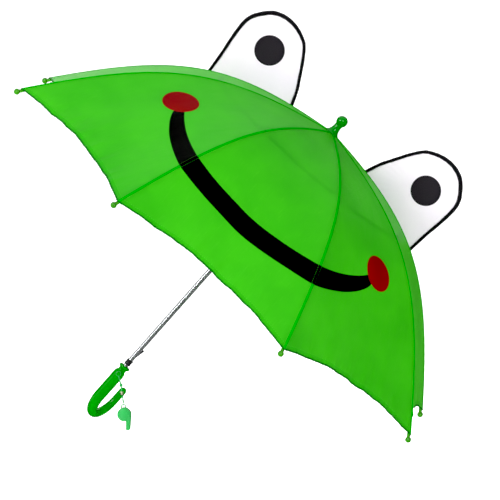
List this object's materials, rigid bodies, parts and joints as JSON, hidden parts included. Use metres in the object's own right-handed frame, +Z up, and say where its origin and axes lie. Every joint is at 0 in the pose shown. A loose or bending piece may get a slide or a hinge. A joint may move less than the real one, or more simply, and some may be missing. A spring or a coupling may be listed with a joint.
{
  "type": "children's umbrella",
  "caption": "Stick umbrella with a folding eight-rib canopy, two upright eye flaps, a sliding runner and a hooked handle with a whistle.",
  "frame": {"origin": "the grip point on the axis of the handle's straight leg, 470 mm down the shaft from the top of the fabric", "axes": "+Z up as the hand holds it, +Y from the front of the canopy (the mouth) to its back, +X the side the shaft leans to, 41.4 degrees from +Z"},
  "size_m": [0.5944, 0.716, 0.5756],
  "materials": {
    "canopy_fabric": "matte woven polyester, bright green",
    "eye_fabric": "white padded fabric",
    "eye_piping": "black corded edge over a wire",
    "shaft_chrome": "polished",
    "stretcher_steel": "nickel-plated",
    "rib_steel": "black enamel",
    "catch_steel": "spring steel",
    "black_plastic": "moulded",
    "handle_plastic": "glossy saturated green",
    "tip_plastic": "light green",
    "whistle_plastic": "slightly translucent light green",
    "cord_green": "braided",
    "crimp_metal": "warm nickel",
    "pea_cork": "cork"
  },
  "bodies": {
    "root": {"shaft_tube": "shaft_chrome", "ferrule_cap": "handle_plastic", "crown_washer": "black_plastic", "crown_wheel": "black_plastic", "stop_pin": "rib_steel", "stop_ring": "black_plastic", "handle": "handle_plastic", "lanyard_peg": "handle_plastic"},
    "runner": {"runner": "black_plastic"},
    "top_catch": {"top_catch": "catch_steel"},
    "bottom_catch": {"bottom_catch": "catch_steel"},
    "rib_inner_1": {"rib_inner_1": "rib_steel"},
    "rib_outer_1": {"rib_outer_1": "rib_steel", "rib_tip_1": "tip_plastic"},
    "stretcher_1": {"stretcher_1": "stretcher_steel"},
    "panel_1": {"gore_1": "canopy_fabric"},
    "rib_inner_2": {"rib_inner_2": "rib_steel"},
    "rib_outer_2": {"rib_outer_2": "rib_steel", "rib_tip_2": "tip_plastic"},
    "stretcher_2": {"stretcher_2": "stretcher_steel"},
    "panel_2": {"gore_2": "canopy_fabric"},
    "rib_inner_3": {"rib_inner_3": "rib_steel"},
    "rib_outer_3": {"rib_outer_3": "rib_steel", "rib_tip_3": "tip_plastic"},
    "stretcher_3": {"stretcher_3": "stretcher_steel"},
    "panel_3": {"gore_3": "canopy_fabric"},
    "rib_inner_4": {"rib_inner_4": "rib_steel"},
    "rib_outer_4": {"rib_outer_4": "rib_steel", "rib_tip_4": "tip_plastic"},
    "stretcher_4": {"stretcher_4": "stretcher_steel"},
    "panel_4": {"gore_4": "canopy_fabric"},
    "rib_inner_5": {"rib_inner_5": "rib_steel"},
    "rib_outer_5": {"rib_outer_5": "rib_steel", "rib_tip_5": "tip_plastic"},
    "stretcher_5": {"stretcher_5": "stretcher_steel"},
    "panel_5": {"gore_5": "canopy_fabric"},
    "rib_inner_6": {"rib_inner_6": "rib_steel"},
    "rib_outer_6": {"rib_outer_6": "rib_steel", "rib_tip_6": "tip_plastic"},
    "stretcher_6": {"stretcher_6": "stretcher_steel"},
    "panel_6": {"gore_6": "canopy_fabric"},
    "rib_inner_7": {"rib_inner_7": "rib_steel"},
    "rib_outer_7": {"rib_outer_7": "rib_steel", "rib_tip_7": "tip_plastic"},
    "stretcher_7": {"stretcher_7": "stretcher_steel"},
    "panel_7": {"gore_7": "canopy_fabric"},
    "rib_inner_8": {"rib_inner_8": "rib_steel"},
    "rib_outer_8": {"rib_outer_8": "rib_steel", "rib_tip_8": "tip_plastic"},
    "stretcher_8": {"stretcher_8": "stretcher_steel"},
    "panel_8": {"gore_8": "canopy_fabric"},
    "right_eye": {"right_eye": "eye_fabric", "right_eye_hoop": "eye_piping"},
    "left_eye": {"left_eye": "eye_fabric", "left_eye_hoop": "eye_piping"},
    "whistle": {"whistle_cord": "cord_green", "crimp_bead": "crimp_metal", "whistle_body": "whistle_plastic"},
    "whistle_pea": {"whistle_pea": "pea_cork"}
  },
  "joints": [
    {"name": "canopy_fold", "type": "hinge", "parent": "root", "child": "rib_inner_1", "pos_m": [0.30389, 0.00739, 0.34933], "axis": [-0.693, -0.3827, 0.611], "range_deg": [0, 69.9], "deforming": ["gore_1", "gore_2", "gore_3", "gore_4", "gore_5", "gore_6", "gore_7", "gore_8", "left_eye", "left_eye_hoop", "right_eye", "right_eye_hoop"]},
    {"name": "rib_2_fold", "type": "hinge", "parent": "root", "child": "rib_inner_2", "pos_m": [0.30064, 0.00306, 0.35219], "axis": [-0.2871, -0.9239, 0.2531], "range_deg": [0, 69.9]},
    {"name": "rib_3_fold", "type": "hinge", "parent": "root", "child": "rib_inner_3", "pos_m": [0.30064, -0.00306, 0.35219], "axis": [0.2871, -0.9239, -0.2531], "range_deg": [0, 69.9]},
    {"name": "rib_4_fold", "type": "hinge", "parent": "root", "child": "rib_inner_4", "pos_m": [0.30389, -0.00739, 0.34933], "axis": [0.693, -0.3827, -0.611], "range_deg": [0, 69.9]},
    {"name": "rib_5_fold", "type": "hinge", "parent": "root", "child": "rib_inner_5", "pos_m": [0.30848, -0.00739, 0.34528], "axis": [0.693, 0.3827, -0.611], "range_deg": [0, 69.9]},
    {"name": "rib_6_fold", "type": "hinge", "parent": "root", "child": "rib_inner_6", "pos_m": [0.31173, -0.00306, 0.34241], "axis": [0.2871, 0.9239, -0.2531], "range_deg": [0, 69.9]},
    {"name": "rib_7_fold", "type": "hinge", "parent": "root", "child": "rib_inner_7", "pos_m": [0.31173, 0.00306, 0.34241], "axis": [-0.2871, 0.9239, 0.2531], "range_deg": [0, 69.9]},
    {"name": "rib_8_fold", "type": "hinge", "parent": "root", "child": "rib_inner_8", "pos_m": [0.30848, 0.00739, 0.34528], "axis": [-0.693, 0.3827, 0.611], "range_deg": [0, 69.9]},
    {"name": "rib_1_elbow", "type": "hinge", "parent": "rib_inner_1", "child": "rib_outer_1", "pos_m": [0.22928, 0.15859, 0.3594], "axis": [-0.693, -0.3827, 0.611], "range_deg": [-23.4, 0]},
    {"name": "stretcher_1_pivot", "type": "hinge", "parent": "rib_inner_1", "child": "stretcher_1", "pos_m": [0.22928, 0.15859, 0.3594], "axis": [-0.693, -0.3827, 0.611], "range_deg": [-139.8, 0]},
    {"name": "rib_2_elbow", "type": "hinge", "parent": "rib_inner_2", "child": "rib_outer_2", "pos_m": [0.1596, 0.06569, 0.42083], "axis": [-0.2871, -0.9239, 0.2531], "range_deg": [-23.4, 0]},
    {"name": "stretcher_2_pivot", "type": "hinge", "parent": "rib_inner_2", "child": "stretcher_2", "pos_m": [0.1596, 0.06569, 0.42083], "axis": [-0.2871, -0.9239, 0.2531], "range_deg": [-139.8, 0]},
    {"name": "rib_3_elbow", "type": "hinge", "parent": "rib_inner_3", "child": "rib_outer_3", "pos_m": [0.1596, -0.06569, 0.42083], "axis": [0.2871, -0.9239, -0.2531], "range_deg": [-23.4, 0]},
    {"name": "stretcher_3_pivot", "type": "hinge", "parent": "rib_inner_3", "child": "stretcher_3", "pos_m": [0.1596, -0.06569, 0.42083], "axis": [0.2871, -0.9239, -0.2531], "range_deg": [-139.8, 0]},
    {"name": "rib_4_elbow", "type": "hinge", "parent": "rib_inner_4", "child": "rib_outer_4", "pos_m": [0.22928, -0.15859, 0.3594], "axis": [0.693, -0.3827, -0.611], "range_deg": [-23.4, 0]},
    {"name": "stretcher_4_pivot", "type": "hinge", "parent": "rib_inner_4", "child": "stretcher_4", "pos_m": [0.22928, -0.15859, 0.3594], "axis": [0.693, -0.3827, -0.611], "range_deg": [-139.8, 0]},
    {"name": "rib_5_elbow", "type": "hinge", "parent": "rib_inner_5", "child": "rib_outer_5", "pos_m": [0.32783, -0.15859, 0.27252], "axis": [0.693, 0.3827, -0.611], "range_deg": [-23.4, 0]},
    {"name": "stretcher_5_pivot", "type": "hinge", "parent": "rib_inner_5", "child": "stretcher_5", "pos_m": [0.32783, -0.15859, 0.27252], "axis": [0.693, 0.3827, -0.611], "range_deg": [-139.8, 0]},
    {"name": "rib_6_elbow", "type": "hinge", "parent": "rib_inner_6", "child": "rib_outer_6", "pos_m": [0.39751, -0.06569, 0.21108], "axis": [0.2871, 0.9239, -0.2531], "range_deg": [-23.4, 0]},
    {"name": "stretcher_6_pivot", "type": "hinge", "parent": "rib_inner_6", "child": "stretcher_6", "pos_m": [0.39751, -0.06569, 0.21108], "axis": [0.2871, 0.9239, -0.2531], "range_deg": [-139.8, 0]},
    {"name": "rib_7_elbow", "type": "hinge", "parent": "rib_inner_7", "child": "rib_outer_7", "pos_m": [0.39751, 0.06569, 0.21108], "axis": [-0.2871, 0.9239, 0.2531], "range_deg": [-23.4, 0]},
    {"name": "stretcher_7_pivot", "type": "hinge", "parent": "rib_inner_7", "child": "stretcher_7", "pos_m": [0.39751, 0.06569, 0.21108], "axis": [-0.2871, 0.9239, 0.2531], "range_deg": [-139.8, 0]},
    {"name": "rib_8_elbow", "type": "hinge", "parent": "rib_inner_8", "child": "rib_outer_8", "pos_m": [0.32783, 0.15859, 0.27252], "axis": [-0.693, 0.3827, 0.611], "range_deg": [-23.4, 0]},
    {"name": "stretcher_8_pivot", "type": "hinge", "parent": "rib_inner_8", "child": "stretcher_8", "pos_m": [0.32783, 0.15859, 0.27252], "axis": [-0.693, 0.3827, 0.611], "range_deg": [-139.8, 0]},
    {"name": "runner_pivot", "type": "hinge", "parent": "stretcher_1", "child": "runner", "pos_m": [0.24862, 0.00739, 0.28664], "axis": [-0.693, -0.3827, 0.611], "range_deg": [0, 69.9]},
    {"name": "panel_1_fold", "type": "hinge", "parent": "root", "child": "panel_1", "pos_m": [0.30194, 0.00566, 0.35104], "axis": [-0.5304, -0.7071, 0.4676], "range_deg": [0, 69.9]},
    {"name": "panel_2_fold", "type": "hinge", "parent": "root", "child": "panel_2", "pos_m": [0.30019, 0, 0.35259], "axis": [0, -1, 0], "range_deg": [0, 69.9]},
    {"name": "panel_3_fold", "type": "hinge", "parent": "root", "child": "panel_3", "pos_m": [0.30194, -0.00566, 0.35104], "axis": [0.5304, -0.7071, -0.4676], "range_deg": [0, 69.9]},
    {"name": "panel_4_fold", "type": "hinge", "parent": "root", "child": "panel_4", "pos_m": [0.30619, -0.008, 0.3473], "axis": [0.7501, 0, -0.6613], "range_deg": [0, 69.9]},
    {"name": "panel_5_fold", "type": "hinge", "parent": "root", "child": "panel_5", "pos_m": [0.31043, -0.00566, 0.34356], "axis": [0.5304, 0.7071, -0.4676], "range_deg": [0, 69.9]},
    {"name": "panel_6_fold", "type": "hinge", "parent": "root", "child": "panel_6", "pos_m": [0.31219, 0, 0.34201], "axis": [0, 1, 0], "range_deg": [0, 69.9]},
    {"name": "panel_7_fold", "type": "hinge", "parent": "root", "child": "panel_7", "pos_m": [0.31043, 0.00566, 0.34356], "axis": [-0.5304, 0.7071, 0.4676], "range_deg": [0, 69.9]},
    {"name": "panel_8_fold", "type": "hinge", "parent": "root", "child": "panel_8", "pos_m": [0.30619, 0.008, 0.3473], "axis": [-0.7501, 0, 0.6613], "range_deg": [0, 69.9]},
    {"name": "right_eye_turn", "type": "hinge", "parent": "panel_7", "child": "right_eye", "pos_m": [0.37168, 0.125, 0.22879], "axis": [-0.5304, 0.7071, 0.4676], "range_deg": [-69.9, 0]},
    {"name": "left_eye_turn", "type": "hinge", "parent": "panel_1", "child": "left_eye", "pos_m": [0.1804, 0.125, 0.39742], "axis": [-0.5304, -0.7071, 0.4676], "range_deg": [-69.9, 0]},
    {"name": "top_catch_press", "type": "slide", "parent": "root", "child": "top_catch", "axis": [-0.7501, 0, 0.6613], "range_m": [0, 0.0025], "stiffness_N_per_m": 400},
    {"name": "bottom_catch_press", "type": "slide", "parent": "root", "child": "bottom_catch", "axis": [-0.7501, 0, 0.6613], "range_m": [0, 0.0025], "stiffness_N_per_m": 400},
    {"name": "whistle_swing", "type": "hinge", "parent": "root", "child": "whistle", "pos_m": [0.01455, -0.009, 0.0165], "axis": [0, -1, 0], "range_deg": [-18, 18]},
    {"name": "pea_rattle", "type": "slide", "parent": "whistle", "child": "whistle_pea", "axis": [0, 0, 1], "range_m": [0, 0.007]}
  ],
  "couplings": [
    {"joint": "rib_2_fold", "follows": "canopy_fold", "ratio": 1},
    {"joint": "rib_3_fold", "follows": "canopy_fold", "ratio": 1},
    {"joint": "rib_4_fold", "follows": "canopy_fold", "ratio": 1},
    {"joint": "rib_5_fold", "follows": "canopy_fold", "ratio": 1},
    {"joint": "rib_6_fold", "follows": "canopy_fold", "ratio": 1},
    {"joint": "rib_7_fold", "follows": "canopy_fold", "ratio": 1},
    {"joint": "rib_8_fold", "follows": "canopy_fold", "ratio": 1},
    {"joint": "rib_1_elbow", "follows": "canopy_fold", "ratio": -0.3273},
    {"joint": "stretcher_1_pivot", "follows": "canopy_fold", "ratio": -2},
    {"joint": "rib_2_elbow", "follows": "canopy_fold", "ratio": -0.3273},
    {"joint": "stretcher_2_pivot", "follows": "canopy_fold", "ratio": -2},
    {"joint": "rib_3_elbow", "follows": "canopy_fold", "ratio": -0.3273},
    {"joint": "stretcher_3_pivot", "follows": "canopy_fold", "ratio": -2},
    {"joint": "rib_4_elbow", "follows": "canopy_fold", "ratio": -0.3273},
    {"joint": "stretcher_4_pivot", "follows": "canopy_fold", "ratio": -2},
    {"joint": "rib_5_elbow", "follows": "canopy_fold", "ratio": -0.3273},
    {"joint": "stretcher_5_pivot", "follows": "canopy_fold", "ratio": -2},
    {"joint": "rib_6_elbow", "follows": "canopy_fold", "ratio": -0.3273},
    {"joint": "stretcher_6_pivot", "follows": "canopy_fold", "ratio": -2},
    {"joint": "rib_7_elbow", "follows": "canopy_fold", "ratio": -0.3273},
    {"joint": "stretcher_7_pivot", "follows": "canopy_fold", "ratio": -2},
    {"joint": "rib_8_elbow", "follows": "canopy_fold", "ratio": -0.3273},
    {"joint": "stretcher_8_pivot", "follows": "canopy_fold", "ratio": -2},
    {"joint": "runner_pivot", "follows": "canopy_fold", "ratio": 1},
    {"joint": "panel_1_fold", "follows": "canopy_fold", "ratio": 1},
    {"joint": "panel_2_fold", "follows": "canopy_fold", "ratio": 1},
    {"joint": "panel_3_fold", "follows": "canopy_fold", "ratio": 1},
    {"joint": "panel_4_fold", "follows": "canopy_fold", "ratio": 1},
    {"joint": "panel_5_fold", "follows": "canopy_fold", "ratio": 1},
    {"joint": "panel_6_fold", "follows": "canopy_fold", "ratio": 1},
    {"joint": "panel_7_fold", "follows": "canopy_fold", "ratio": 1},
    {"joint": "panel_8_fold", "follows": "canopy_fold", "ratio": 1},
    {"joint": "right_eye_turn", "follows": "canopy_fold", "ratio": -1},
    {"joint": "left_eye_turn", "follows": "canopy_fold", "ratio": -1}
  ]
}
